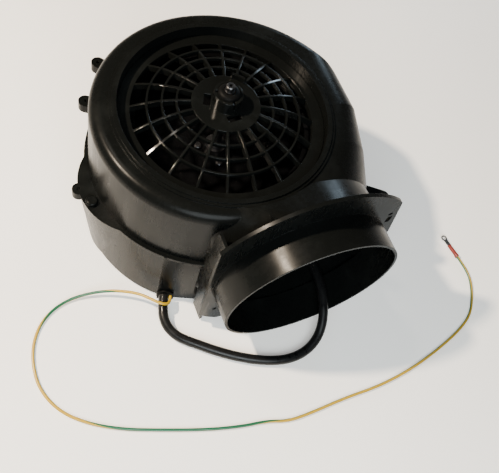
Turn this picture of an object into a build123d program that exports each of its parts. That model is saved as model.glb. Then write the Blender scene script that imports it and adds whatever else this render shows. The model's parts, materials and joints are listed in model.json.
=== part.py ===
from build123d import *
import math
import os

os.makedirs("parts", exist_ok=True)

# Casing, millimetres, with +Z along the fan axis and the underside at zero
CASING_HEIGHT = 144.0
SEAM_HEIGHT = 77.0
WALL = 2.5
SCROLL_RADIUS = 103.0
TONGUE_RADIUS = 97.0
OUTLET_SIDE = 118.0
TOP_ROUND = 9.0
FOOT_ROUND = 3.0
OUTLET_ROUND = 26.0
LOWER_STEP = 3.0
SEAM_BEAD = 0.5
SEAM_BEAD_HEIGHT = 3.0

# Outlet duct, collar and spigot for 150 mm ducting
SPIGOT_X = 35.0
SPIGOT_OUTER_RADIUS = 74.0
SPIGOT_WALL = 2.2
SPIGOT_LENGTH = 27.0
FLANGE_FRONT = -114.0
FLANGE_THICKNESS = 3.0
FLANGE_RADIUS = 97.0
FLANGE_HALF_WIDTH = 78.5
FLANGE_HOLE_X = 65.0
FLANGE_HOLE_Z = 52.0
FLANGE_HOLE_RADIUS = 2.1
FLANGE_SLOT_LENGTH = 9.0
FLANGE_SLOT_DROP = 9.0
FLANGE_KNEE = 18.0
FLANGE_LEAN = 15.2
FLANGE_CORNER = 8.0
DUCT_HALF = 75.0
DUCT_CORNER = 70.0
DUCT_LEFT = SPIGOT_X - DUCT_HALF
# Sections of the duct on its way to the collar: Y, how far the right side has come in, left and right corner radius
DUCT_SECTIONS = [(-50.0, 2.5, 9.0, 44.0), (-80.0, 6.0, 16.0, 68.0)]
FIN_DEPTH = 15.0
FIN_THICKNESS = 2.5
FIN_CHAMFER = 9.0
GUSSET_X = -2.0
GUSSET_THICKNESS = 2.0
GUSSET_DEPTH = 25.0
GUSSET_RISE = 19.0

# Inlet seat and raised rim
RIM_OUTER_RADIUS = 88.5
RIM_STEP = 2.6
RIM_STEP_WIDTH = 2.2
RIM_HEIGHT = 2.6
SEAT_RADIUS = 82.3
SEAT_WALL = 2.5
SEAT_LEDGE = 5.0
SEAT_DEPTH = 9.5
FOOT_SEAT_DEPTH = 3.0
FIT_GAP = 0.3

# Closing screws
SCREW_SHANK = 1.5
SCREW_HEAD = 3.2
SCREW_HEAD_HEIGHT = 2.2
SCREW_GAP = 0.1
SCREW_CROSS = 3.4
SCREW_CROSS_WIDTH = 0.8

# Screw ears and the crescent ledge on the left of the lower shell
EAR_RADIUS = 5.5
EAR_HEIGHT = 8.0
EAR_HOLE_RADIUS = 1.4
EAR_WEB = 20.0
EAR_PLACES = [(-74.0, 90.0, 113.0), (-94.0, 55.0, 111.0), (-115.0, -3.0, 77.0), (122.0, -84.0, 99.0)]
LEDGE_CENTRE_X = -65.6
LEDGE_CENTRE_Y = -6.9
LEDGE_RADIUS = 50.0
LEDGE_FOOT_RADIUS = 41.0
BOSS_RADIUS = 5.0
BOSS_HEIGHT = 8.0
BOSS_REACH = 4.6
BOSS_ANGLES = [105.0, 55.0, 12.0]
BOSS_FLOOR = 1.5
BUTTON_RADIUS = 5.0
BUTTON_HEIGHT = 3.5
BUTTON_CIRCLE = 109.8
BUTTON_ANGLE = 189.1

# Flat wall with the cable notch, in the front left corner of the lower shell
NOTCH_X = -61.5
NOTCH_Y = -82.5
NOTCH_FACING = 249.0
NOTCH_WALL_LEFT = 7.6
NOTCH_WALL_RIGHT = 26.0
NOTCH_WALL_DEPTH = 24.0
NOTCH_HALF_WIDTH = 6.4
NOTCH_HEIGHT = 14.6
NOTCH_DEPTH = 10.0
GROMMET_LIP = 0.8
GROMMET_LIP_THICKNESS = 2.0
GROMMET_LENGTH = 7.0
GROMMET_CLEARANCE = 0.1
CABLE_ASIDE = -1.6
CABLE_RADIUS = 4.25
EARTH_RADIUS = 1.3

# Inlet grille
GRILLE_OPENING_RADIUS = 74.5
GRILLE_RING_THICKNESS = 3.0
GRILLE_THROAT_RADIUS = 72.2
GRILLE_THROAT_DEPTH = 8.0
GRILLE_RIBS = 20
RIB_WIDTH = 1.9
RIB_DEPTH = 6.0
HUB_RADIUS = 27.0
HUB_THICKNESS = 3.0
HUB_RISE = 13.6
GUARD_RINGS = [(37.7, 11.6), (48.7, 9.6), (60.0, 6.8)]
GUARD_RING_WIDTH = 1.7
GUARD_RING_DEPTH = 3.4
COLLAR_RADIUS = 11.2
COLLAR_BORE = 8.6
COLLAR_HEIGHT = 11.5
HUB_SLOT_INNER = 12.0
HUB_SLOT_OUTER = 17.5
HUB_SLOT_HALF = 5.5
HUB_SLOT_ANGLES = [35.0, 155.0, 275.0]
HUB_TAB_ANGLE = 49.0
HUB_TAB_HALF = 5.6
HUB_TAB_WIDTH = 2.0
HUB_TAB_HEIGHT = 5.0
COLLAR_SPLIT = 2.0

# Motor carrier on the underside
CARRIER_RIBS = 10
CARRIER_RIB_WIDTH = 3.0
CARRIER_RIB_HEIGHT = 5.0
CARRIER_HUB_RADIUS = 32.0
CARRIER_HUB_HEIGHT = 6.0
CARRIER_RINGS = [46.0, 60.0]
MOUNT_CIRCLE = 25.0
MOUNT_ANGLES = [90.0, 210.0, 330.0]
MOUNT_HOLE_RADIUS = 2.3
MOUNT_SINK_RADIUS = 4.6
MOUNT_SINK_DEPTH = 3.4
DAMPER_RADIUS = 5.5
DAMPER_HEIGHT = 5.0

# Motor
SHAFT_RADIUS = 4.0
SHAFT_REACH = 5.7
NOSE_RADIUS = 3.4
NOSE_LENGTH = 5.0
CENTRE_HOLE_RADIUS = 1.3
SHIELD_RADIUS = 40.0
SHIELD_WALL = 6.0
SHIELD_FLOOR = 3.0
SHIELD_DEPTH = 16.0
SHIELD_CHAMFER = 1.8
MOTOR_HEADROOM = 6.0
STATOR_BORE = 23.3
STATOR_SLOTS = 12
SLOT_INNER = 25.5
SLOT_OUTER = 32.5
SLOT_WIDTH = 6.0
AIR_GAP = 0.3
ROTOR_SLOTS = 16
ROTOR_NOTCH = 1.4
WINDING_RISE = 8.0
WINDING_GAP = 0.25
WINDING_CHAMFER = 2.2
WINDING_INNER = 24.6
WINDING_OUTER = 33.4
BEARING_OUTER = 11.0
BEARING_WIDTH = 7.0
BEARING_HOUSING_WALL = 3.0
RUNNING_GAP = 0.03
END_RING_INNER = 15.0
END_RING_HEIGHT = 4.0
TIE_BOLT_CIRCLE = 37.0
TIE_BOLT_RADIUS = 1.9
TIE_BOLT_COUNT = 4
TIE_NUT_RADIUS = 3.4
TIE_NUT_HEIGHT = 2.8
VENT_COUNT = 6

# Impeller
IMPELLER_RADIUS = 79.0
BLADE_INNER_RADIUS = 68.0
BLADE_COUNT = 36
BLADE_THICKNESS = 1.3
BLADE_SWEEP = 9.0
BLADE_CAMBER = 2.6
IMPELLER_BOTTOM = 14.5
IMPELLER_HEADROOM = 7.0
IMPELLER_RING_HEIGHT = 2.6
DISC_HEIGHT = 86.0
DISC_THICKNESS = 3.0
HUB_INSERT_RADIUS = 9.0
HUB_INSERT_HEIGHT = 20.0
HUB_FLANGE_RADIUS = 18.0
HUB_FLANGE_THICKNESS = 3.0
HUB_SCREW_CIRCLE = 14.0
CLIP_RADIUS = 6.5
CLIP_GROOVE_RADIUS = 3.4
CLIP_THICKNESS = 1.0
CLIP_CLEARANCE = 0.05

# Top bearing and its rubber bush
SLEEVE_OUTER = 6.0
BUSH_RISE = 3.2
BUSH_COVER = 1.5
BUSH_MOUTH_GAP = 0.6

# Wiring that leaves the casing
CABLE_ROUTE = [
    (-64.1, -84.8, 8.6), (-67.7, -94.1, 8.6), (-70.0, -103.5, 6.8), (-68.7, -112.8, 5.0), (-64.0, -121.1, 4.4),
    (-57.1, -127.8, 4.4), (-49.0, -134.0, 4.4), (-36.2, -144.0, 4.4), (-18.5, -155.6, 4.4), (1.7, -165.3, 4.4),
    (21.8, -170.6, 4.5), (40.2, -168.8, 5.6), (53.8, -161.2, 10.0), (61.6, -150.2, 16.5), (66.0, -138.0, 21.6),
    (69.5, -125.0, 23.8), (71.8, -113.0, 22.8), (73.5, -103.0, 19.6), (74.2, -94.0, 17.8), (71.0, -85.5, 15.6),
    (65.0, -79.0, 12.4),
]
EARTH_ROUTE = [
    (-58.7, -86.9, 9.6), (-60.3, -91.0, 9.9), (-63.2, -94.2, 12.8), (-67.6, -94.4, 15.4), (-71.9, -91.9, 16.3),
    (-76.8, -86.6, 15.2), (-84.0, -79.0, 13.4), (-94.0, -72.6, 11.2), (-107.0, -66.8, 8.2), (-122.0, -63.2, 4.8),
    (-139.0, -62.5, 2.2), (-155.0, -67.5, 1.5), (-168.0, -77.5, 1.5), (-177.0, -92.0, 1.5), (-181.5, -110.0, 1.5),
    (-181.0, -131.0, 1.5), (-171.0, -152.0, 1.5), (-153.0, -168.0, 1.5), (-129.0, -181.0, 1.5),
    (-99.0, -192.0, 1.5), (-66.0, -203.0, 1.5), (-38.0, -210.0, 1.5), (-15.0, -213.0, 1.5), (2.0, -219.0, 1.5),
    (25.0, -219.0, 1.5), (58.0, -217.0, 1.5), (93.0, -217.5, 1.5), (130.0, -213.0, 1.5), (166.0, -204.0, 1.5),
    (195.0, -194.0, 1.5), (213.0, -184.0, 1.5), (224.0, -170.0, 1.5), (232.0, -154.0, 1.8), (234.0, -140.0, 2.2),
    (231.5, -125.5, 2.6),
]
LEAD_RADIUS = 2.4
LEAD_ANGLE = -128.0
PLUG_LENGTH = 16.0
PLUG_WIDTH = 14.0
PLUG_HEIGHT = 8.0
TERMINAL_SLEEVE_RADIUS = 1.9
TERMINAL_SLEEVE_LENGTH = 14.0
TERMINAL_THICKNESS = 0.8
TERMINAL_RADIUS = 3.1
TERMINAL_HOLE_RADIUS = 1.65
TERMINAL_NECK = 4.0

GRILLE_TOP = CASING_HEIGHT - SEAT_DEPTH + GRILLE_RING_THICKNESS
STACK_BOTTOM = CARRIER_HUB_HEIGHT + DAMPER_HEIGHT + SHIELD_FLOOR + SHIELD_DEPTH
STACK_TOP = DISC_HEIGHT - HUB_FLANGE_THICKNESS - MOTOR_HEADROOM - SHIELD_FLOOR - SHIELD_DEPTH
SPIGOT_BORE = SPIGOT_OUTER_RADIUS - SPIGOT_WALL
FLANGE_BACK = FLANGE_FRONT + FLANGE_THICKNESS
HUB_TOP = GRILLE_TOP + HUB_RISE
BUSH_TOP = HUB_TOP + COLLAR_HEIGHT + BUSH_RISE
SHAFT_TOP = BUSH_TOP + SHAFT_REACH
IMPELLER_TOP = CASING_HEIGHT - SEAT_DEPTH - IMPELLER_HEADROOM
CLIP_LOW = DISC_HEIGHT + DISC_THICKNESS + HUB_INSERT_HEIGHT / 2 + FIT_GAP


def rod(radius, low, high, x=0.0, y=0.0):
    """Upright cylinder between two heights."""
    return Pos(x, y, (low + high) / 2) * Cylinder(radius, high - low)


def tube(outer, inner, low, high, x=0.0, y=0.0):
    """Upright tube; the bore runs past both ends so that it cuts cleanly."""
    return rod(outer, low, high, x, y) - rod(inner, low - 1, high + 1, x, y)


def rod_along_y(radius, front, back, x, z):
    """Cylinder whose axis is parallel to Y."""
    return Pos(x, (front + back) / 2, z) * Rot(90, 0, 0) * Cylinder(radius, abs(back - front))


def block(x0, x1, y0, y1, z0, z1):
    """Box between six limits."""
    return Pos((x0 + x1) / 2, (y0 + y1) / 2, (z0 + z1) / 2) * Box(x1 - x0, y1 - y0, z1 - z0)


def polar(radius, degrees):
    """Point on a circle about the fan axis."""
    return radius * math.cos(math.radians(degrees)), radius * math.sin(math.radians(degrees))


def edges_at(shape, height):
    """Edges that lie wholly at one height."""
    return [
        e for e in shape.edges()
        if abs(e.bounding_box().min.Z - height) < 0.01 and abs(e.bounding_box().max.Z - height) < 0.01
    ]


def scroll_face(inset=0.0):
    """Plan of the scroll: three tangent arcs that open towards the outlet, and one across the front."""
    left = SCROLL_RADIUS - inset
    front = TONGUE_RADIUS - inset
    side = OUTLET_SIDE - inset
    front_x = TONGUE_RADIUS - SCROLL_RADIUS
    side_y = SCROLL_RADIUS - OUTLET_SIDE
    half = math.sqrt(0.5)
    edges = [
        ThreePointArc((-left, 0), (-left * half, left * half), (0, left)),
        ThreePointArc((0, left), (side * half, side_y + side * half), (side, side_y)),
        TangentArc((front_x, -front), (side, side_y), tangent=(1, 0)),
        ThreePointArc((-left, 0), (front_x - front * half, -front * half), (front_x, -front)),
    ]
    return make_face(edges)


def outlet_side_rounds(inset):
    """The two long corners along the outlet wall, as the stock that their large round takes away."""
    r = OUTLET_ROUND - inset
    over = OUTLET_ROUND / 4
    reach = SCROLL_RADIUS + OUTLET_ROUND
    x0 = OUTLET_SIDE - OUTLET_ROUND
    x1 = OUTLET_SIDE - inset + over
    low, high = inset, CASING_HEIGHT - inset
    top = block(x0, x1, -reach, reach, high - r, high + over)
    foot = block(x0, x1, -reach, reach, low - over, low + r)
    top -= rod_along_y(r, reach + 1, -reach - 1, x0, high - r)
    foot -= rod_along_y(r, reach + 1, -reach - 1, x0, low + r)
    return top, foot


def duct_face(plane, x0, x1, z0, z1, left_corner, right_corner):
    """Upright rectangle with its own radius at the left and at the right corners."""
    bends = [
        (x0, z0, left_corner, 1, 1), (x1, z0, right_corner, -1, 1),
        (x1, z1, right_corner, -1, -1), (x0, z1, left_corner, 1, -1),
    ]
    near = 1 - math.sqrt(0.5)
    arcs = []
    for index, (x, z, r, sx, sz) in enumerate(bends):
        beside = (x + sx * r, z)
        above = (x, z + sz * r)
        ends = (above, beside) if index % 2 == 0 else (beside, above)
        arcs.append((ends[0], (x + sx * r * near, z + sz * r * near), ends[1]))
    edges = []
    for index, (start, middle, end) in enumerate(arcs):
        edges.append(ThreePointArc(start, middle, end))
        edges.append(Line(end, arcs[(index + 1) % 4][0]))
    return plane * make_face(edges)


def duct_plane(y):
    """Plane across the duct, with its own x along X and its own y along Z."""
    return Plane(origin=(0, y, 0), x_dir=(1, 0, 0), z_dir=(0, -1, 0))


def duct_body(inset=0.0):
    """Outlet duct: boxy beside the scroll, then swelling to take the round spigot."""
    side_y = SCROLL_RADIUS - OUTLET_SIDE
    low, high = inset, CASING_HEIGHT - inset
    left, right = DUCT_LEFT + inset, OUTLET_SIDE - inset
    faces = [duct_face(duct_plane(side_y), left, right, low, high, TOP_ROUND - inset, OUTLET_ROUND - inset)]
    for y, drawn_in, left_corner, right_corner in DUCT_SECTIONS:
        faces.append(duct_face(
            duct_plane(y), left, right - drawn_in, low, high, left_corner - inset, right_corner - inset,
        ))
    half = DUCT_HALF - inset
    faces.append(duct_face(
        duct_plane(FLANGE_BACK), SPIGOT_X - half, SPIGOT_X + half, SEAM_HEIGHT - half, SEAM_HEIGHT + half,
        DUCT_CORNER - inset, DUCT_CORNER - inset,
    ))
    lengths = [loft([near, far], ruled=True) for near, far in zip(faces, faces[1:])]
    return lengths[0].fuse(*lengths[1:])


def scroll_body(inset=0.0):
    """Drum of the scroll, rounded at its edges and more so at the outlet wall."""
    body = extrude(scroll_face(inset), CASING_HEIGHT - 2 * inset)
    body = Pos(0, 0, inset) * body
    body = fillet(edges_at(body, CASING_HEIGHT - inset), TOP_ROUND - inset)
    body = fillet(edges_at(body, inset), max(FOOT_ROUND - inset, 0.5))
    top, foot = outlet_side_rounds(inset)
    side_y = SCROLL_RADIUS - OUTLET_SIDE
    inside_duct = block(SPIGOT_X, OUTLET_SIDE + 1, -TONGUE_RADIUS - 1, side_y, -1, CASING_HEIGHT + 1)
    return body - top - foot - inside_duct


def flange():
    """Flat collar behind the spigot: a disc cut off at the foot and both sides, the right one leaning in."""
    disc = rod_along_y(FLANGE_RADIUS, FLANGE_FRONT, FLANGE_BACK, SPIGOT_X, SEAM_HEIGHT)
    left, right = SPIGOT_X - FLANGE_HALF_WIDTH, SPIGOT_X + FLANGE_HALF_WIDTH
    high = SEAM_HEIGHT + FLANGE_RADIUS
    outline = Polyline(
        (left, 0), (right, 0), (right, SEAM_HEIGHT + FLANGE_KNEE), (right - FLANGE_LEAN, high), (left, high),
        close=True,
    )
    plate = disc & extrude(duct_plane(FLANGE_BACK) * make_face(outline), FLANGE_THICKNESS)
    corner = [
        edge for edge in plate.edges().filter_by(Axis.Y)
        if edge.center().X > SPIGOT_X and edge.center().Z > SEAM_HEIGHT + 2 * FLANGE_KNEE
    ]
    return fillet(corner, FLANGE_CORNER)


def flange_holes():
    """Four screw holes, and the slot below the right hand upper one."""
    front, back = FLANGE_FRONT - 1, FLANGE_BACK + 1
    holes = [
        rod_along_y(FLANGE_HOLE_RADIUS, front, back, SPIGOT_X + sx * FLANGE_HOLE_X, SEAM_HEIGHT + sz * FLANGE_HOLE_Z)
        for sx in (-1, 1) for sz in (-1, 1)
    ]
    x = SPIGOT_X + FLANGE_HOLE_X + 2
    z = SEAM_HEIGHT + FLANGE_HOLE_Z - FLANGE_SLOT_DROP
    half = FLANGE_HOLE_RADIUS
    slot = block(x - half, x + half, front, back, z - FLANGE_SLOT_LENGTH / 2, z + FLANGE_SLOT_LENGTH / 2)
    return holes + [slot]


def side_fin():
    """Upright plate that carries on the left wall of the duct behind the collar."""
    reach = DUCT_LEFT - SPIGOT_X
    top = SEAM_HEIGHT + math.sqrt(FLANGE_RADIUS ** 2 - reach ** 2)
    back = FLANGE_BACK + FIN_DEPTH
    profile = Polyline(
        (FLANGE_BACK - 1, FOOT_ROUND), (back, FOOT_ROUND), (back, top - 2 * FIN_CHAMFER),
        (back - FIN_CHAMFER / 3, top), (FLANGE_BACK - 1, top), close=True,
    )
    plane = Plane(origin=(DUCT_LEFT, 0, 0), x_dir=(0, 1, 0), z_dir=(1, 0, 0))
    return extrude(plane * make_face(profile), FIN_THICKNESS)


def top_gusset():
    """Curved rib between the top of the casing and the back of the collar."""
    low = CASING_HEIGHT - TOP_ROUND / 2
    high = CASING_HEIGHT + GUSSET_RISE
    front = FLANGE_BACK - 1
    back = FLANGE_BACK + GUSSET_DEPTH
    sweep = ThreePointArc(
        (back, CASING_HEIGHT - 1), (front + GUSSET_DEPTH * 0.36, CASING_HEIGHT + GUSSET_RISE * 0.36), (front, high),
    )
    outline = [sweep, Line((front, high), (front, low)), Line((front, low), (back, low)),
               Line((back, low), (back, CASING_HEIGHT - 1))]
    plane = Plane(origin=(GUSSET_X - GUSSET_THICKNESS / 2, 0, 0), x_dir=(0, 1, 0), z_dir=(1, 0, 0))
    return extrude(plane * make_face(outline), GUSSET_THICKNESS)


def ear(x, y, top):
    """Round screw ear on a web that runs into the casing wall."""
    low = top - EAR_HEIGHT
    reach = math.hypot(x, y)
    inner = 1 - EAR_WEB / reach
    web = Plane(origin=(x * (1 + inner) / 2, y * (1 + inner) / 2, (low + top) / 2),
                x_dir=(x, y, 0), z_dir=(0, 0, 1)) * Box(EAR_WEB, 2 * EAR_RADIUS, EAR_HEIGHT)
    return rod(EAR_RADIUS, low, top, x, y) + web


def boss_place(degrees):
    """Centre of a closing boss that leans on the outside of the scroll."""
    if degrees < 90:
        side_y = SCROLL_RADIUS - OUTLET_SIDE
        x, y = polar(OUTLET_SIDE + BOSS_REACH, degrees)
        return x, y + side_y
    return polar(SCROLL_RADIUS + BOSS_REACH, degrees)


def notch_plane(height=0.0):
    """Plane on the flat wall: x along the wall to the right, y up and z out of the casing."""
    out = math.radians(NOTCH_FACING)
    along = Vector(-math.sin(out), math.cos(out), 0)
    return Plane(origin=(NOTCH_X, NOTCH_Y, height), x_dir=along, z_dir=(math.cos(out), math.sin(out), 0))


def notch_wall():
    """Stock of the flat wall, which cuts off the rounded corner of the lower shell."""
    width = NOTCH_WALL_LEFT + NOTCH_WALL_RIGHT
    stock = Box(width, SEAM_HEIGHT, NOTCH_WALL_DEPTH, align=(Align.MIN, Align.MIN, Align.MAX))
    return notch_plane() * Pos(-NOTCH_WALL_LEFT, 0, 0) * stock


def arch(half_width, height, foot, length):
    """Arched section, flat at the foot, drawn out along its own z."""
    shoulder = height - half_width
    edges = [
        Line((-half_width, foot), (half_width, foot)), Line((half_width, foot), (half_width, shoulder)),
        ThreePointArc((half_width, shoulder), (0, height), (-half_width, shoulder)),
        Line((-half_width, shoulder), (-half_width, foot)),
    ]
    return extrude(make_face(edges), length)


def ledge_body(inset=0.0):
    """Tapered bulge under the crescent ledge."""
    cone = Cone(LEDGE_FOOT_RADIUS - inset, LEDGE_RADIUS - inset, SEAM_HEIGHT - inset)
    return Pos(LEDGE_CENTRE_X, LEDGE_CENTRE_Y, (SEAM_HEIGHT - inset) / 2) * cone


def scroll_side():
    """Room of the lower shell's step: round the left and the back, up to where the outlet wall begins."""
    side_y = SCROLL_RADIUS - OUTLET_SIDE
    reach = SCROLL_RADIUS + OUTLET_ROUND
    left = block(-reach, TONGUE_RADIUS - SCROLL_RADIUS, -reach, reach, -1, SEAM_HEIGHT)
    back = block(-reach, reach, 0, reach, -1, SEAM_HEIGHT)
    return left + back - outlet_side_rounds(0.0)[1]


def casing_outside():
    """Outer form of the two shells together, before the hollow is taken out."""
    body = scroll_body() + duct_body() + flange()
    body += rod_along_y(SPIGOT_OUTER_RADIUS, FLANGE_FRONT - SPIGOT_LENGTH, FLANGE_BACK, SPIGOT_X, SEAM_HEIGHT)
    body += ledge_body()
    body += notch_wall()
    step = extrude(scroll_face(-LOWER_STEP), SEAM_HEIGHT)
    step = fillet(edges_at(step, 0), FOOT_ROUND)
    bead = Pos(0, 0, SEAM_HEIGHT - SEAM_BEAD_HEIGHT) * extrude(
        scroll_face(-LOWER_STEP - SEAM_BEAD), SEAM_BEAD_HEIGHT
    )
    room = scroll_side()
    flat = Box(NOTCH_WALL_LEFT + 2 * NOTCH_WALL_RIGHT, SEAM_HEIGHT, 2 * NOTCH_WALL_DEPTH,
               align=(Align.MIN, Align.MIN, Align.CENTER))
    body += (step & (room - notch_plane() * Pos(-NOTCH_WALL_LEFT, 0, 0) * flat)) + (bead & room)
    body += rod(RIM_OUTER_RADIUS, CASING_HEIGHT - TOP_ROUND, CASING_HEIGHT + RIM_HEIGHT)
    body -= tube(RIM_OUTER_RADIUS + 1, RIM_OUTER_RADIUS - RIM_STEP_WIDTH,
                 CASING_HEIGHT + RIM_HEIGHT / 2, CASING_HEIGHT + RIM_HEIGHT + 1)
    body += side_fin()
    body += top_gusset()
    for x, y, top in EAR_PLACES:
        body += ear(x, y, top)
    for degrees in BOSS_ANGLES:
        x, y = boss_place(degrees)
        body += rod(BOSS_RADIUS, SEAM_HEIGHT - BOSS_HEIGHT, SEAM_HEIGHT + BOSS_HEIGHT, x, y)
    return body


def casing_hollow():
    """Everything that is taken out of the casing as one tool."""
    pocket = ledge_body(WALL) & block(-150, LEDGE_CENTRE_X, -100, 100, WALL, SEAM_HEIGHT)
    hollow = scroll_body(WALL) + duct_body(WALL) + pocket
    hollow += rod_along_y(SPIGOT_BORE, FLANGE_FRONT - SPIGOT_LENGTH - 1, FLANGE_BACK + 1, SPIGOT_X, SEAM_HEIGHT)
    return hollow


def inlet_seats():
    """Round seats in the top and the underside that the two grilles drop into."""
    top_ledge = CASING_HEIGHT - SEAT_DEPTH
    upper = tube(SEAT_RADIUS + SEAT_WALL, SEAT_RADIUS - SEAT_LEDGE, top_ledge - SEAT_WALL, CASING_HEIGHT)
    foot_ledge = FOOT_SEAT_DEPTH
    lower = tube(SEAT_RADIUS + SEAT_WALL, SEAT_RADIUS - SEAT_LEDGE, 0.0, foot_ledge + SEAT_WALL)
    return upper, lower


def casing():
    """Both shells in one, with every hole cut."""
    body = casing_outside() - casing_hollow()
    upper, lower = inlet_seats()
    body = body + upper + lower
    body -= rod(SEAT_RADIUS, CASING_HEIGHT - SEAT_DEPTH, CASING_HEIGHT + RIM_HEIGHT + 1)
    body -= rod(SEAT_RADIUS, -1, FOOT_SEAT_DEPTH)
    body -= rod(SEAT_RADIUS - SEAT_LEDGE, -1, CASING_HEIGHT + RIM_HEIGHT + 1)
    for hole in flange_holes():
        body -= hole
    for x, y, top in EAR_PLACES:
        body -= rod(EAR_HOLE_RADIUS, top - EAR_HEIGHT - 1, top + 1, x, y)
    for degrees in BOSS_ANGLES:
        x, y = boss_place(degrees)
        body -= rod(SCREW_SHANK + SCREW_GAP, SEAM_HEIGHT - BOSS_HEIGHT + BOSS_FLOOR, SEAM_HEIGHT + BOSS_HEIGHT + 1, x, y)
    body -= cable_notch()
    return body


def cable_notch():
    """Arched notch through the flat wall and the edge of the floor."""
    return notch_plane() * Pos(0, 0, -NOTCH_DEPTH) * arch(NOTCH_HALF_WIDTH, NOTCH_HEIGHT, -1, NOTCH_DEPTH + 1)


def upper_housing(whole):
    """Upper half shell, with the rim, the collar's upper half and half of the spigot."""
    return whole & block(-250, 250, -250, 250, SEAM_HEIGHT, 250)


def lower_housing(whole):
    """Lower half shell, with the wiring outlet and the crescent ledge, on which a low round boss stands."""
    x, y = polar(BUTTON_CIRCLE, BUTTON_ANGLE)
    top = SEAM_HEIGHT + BUTTON_HEIGHT
    button = rod(BUTTON_RADIUS, SEAM_HEIGHT - 1, top, x, y)
    button = fillet(edges_at(button, top), BUTTON_HEIGHT / 2)
    return (whole & block(-250, 250, -250, 250, -5, SEAM_HEIGHT)) + button


def screw(x, y, under_head, length):
    """Pan head screw that points down, with a cross recess."""
    body = rod(SCREW_HEAD, under_head, under_head + SCREW_HEAD_HEIGHT, x, y)
    body = chamfer(edges_at(body, under_head + SCREW_HEAD_HEIGHT), SCREW_HEAD_HEIGHT * 0.4)
    body += rod(SCREW_SHANK, under_head - length, under_head, x, y)
    bar = Box(SCREW_CROSS, SCREW_CROSS_WIDTH, SCREW_HEAD_HEIGHT)
    cross = bar + Rot(0, 0, 90) * bar
    return body - Pos(x, y, under_head + SCREW_HEAD_HEIGHT) * cross


def housing_screws():
    """Screws that close the two shells."""
    top = SEAM_HEIGHT + BOSS_HEIGHT
    return [screw(*boss_place(degrees), top, BOSS_HEIGHT * 2 - 3) for degrees in BOSS_ANGLES]


def ring_band(radius, low, high, width):
    """Thin concentric guard ring."""
    return tube(radius + width / 2, radius - width / 2, low, high)


def arched_rib():
    """One radial rib of the domed guard, standing on edge along +X."""
    top = GRILLE_TOP
    outer = GRILLE_OPENING_RADIUS - 1
    inner = HUB_RADIUS - 1
    rise = HUB_RISE
    upper = ThreePointArc((inner, top + rise), (50.0, top + rise - 3.9), (outer, top - 0.6))
    lower = ThreePointArc(
        (inner, top + rise - RIB_DEPTH), (50.0, top + rise - 3.9 - RIB_DEPTH), (outer, top - 0.6 - RIB_DEPTH)
    )
    outline = [upper, Line(upper @ 1, lower @ 1), lower, Line(lower @ 0, upper @ 0)]
    plane = Plane(origin=(0, RIB_WIDTH / 2, 0), x_dir=(1, 0, 0), z_dir=(0, -1, 0))
    return extrude(plane * make_face(outline), RIB_WIDTH)


def inlet_grille():
    """Domed guard with its hub, its collar for the top bearing and its seat ring, moulded in one."""
    top = GRILLE_TOP
    throat = top - GRILLE_THROAT_DEPTH
    body = tube(SEAT_RADIUS - FIT_GAP, GRILLE_OPENING_RADIUS, top - GRILLE_RING_THICKNESS, top)
    body += tube(GRILLE_OPENING_RADIUS + 0.01, GRILLE_THROAT_RADIUS, throat, top)
    rib = arched_rib()
    first_rib = -108.0
    for index in range(GRILLE_RIBS):
        body += Rot(0, 0, first_rib + index * 360 / GRILLE_RIBS) * rib
    for radius, rise in GUARD_RINGS:
        body += ring_band(radius, top + rise - GUARD_RING_DEPTH, top + rise, GUARD_RING_WIDTH)
    hub = rod(HUB_RADIUS, HUB_TOP - HUB_THICKNESS, HUB_TOP)
    hub += rod(COLLAR_RADIUS, HUB_TOP - HUB_THICKNESS - 3, HUB_TOP + COLLAR_HEIGHT)
    body += hub
    tab = tube(HUB_RADIUS, HUB_RADIUS - HUB_TAB_WIDTH, HUB_TOP - 1, HUB_TOP + HUB_TAB_HEIGHT)
    arc = block(0, HUB_RADIUS + 1, -HUB_TAB_HALF, HUB_TAB_HALF, HUB_TOP - 2, HUB_TOP + HUB_TAB_HEIGHT + 1)
    body += tab & (Rot(0, 0, HUB_TAB_ANGLE) * arc)
    body -= rod(COLLAR_BORE, HUB_TOP - HUB_THICKNESS - 1, HUB_TOP + COLLAR_HEIGHT + 1)
    body -= rod(SHAFT_RADIUS + 1, HUB_TOP - HUB_THICKNESS - 4, HUB_TOP)
    for degrees in HUB_SLOT_ANGLES:
        slot = block(HUB_SLOT_INNER, HUB_SLOT_OUTER, -HUB_SLOT_HALF, HUB_SLOT_HALF,
                     HUB_TOP - HUB_THICKNESS - 1, HUB_TOP + 1)
        body -= Rot(0, 0, degrees) * slot
    split = block(COLLAR_BORE - 1, COLLAR_RADIUS + 1, -COLLAR_SPLIT / 2, COLLAR_SPLIT / 2,
                  HUB_TOP + COLLAR_HEIGHT * 0.35, HUB_TOP + COLLAR_HEIGHT + 1)
    for degrees in HUB_SLOT_ANGLES:
        body -= Rot(0, 0, degrees) * split
    return body


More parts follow.
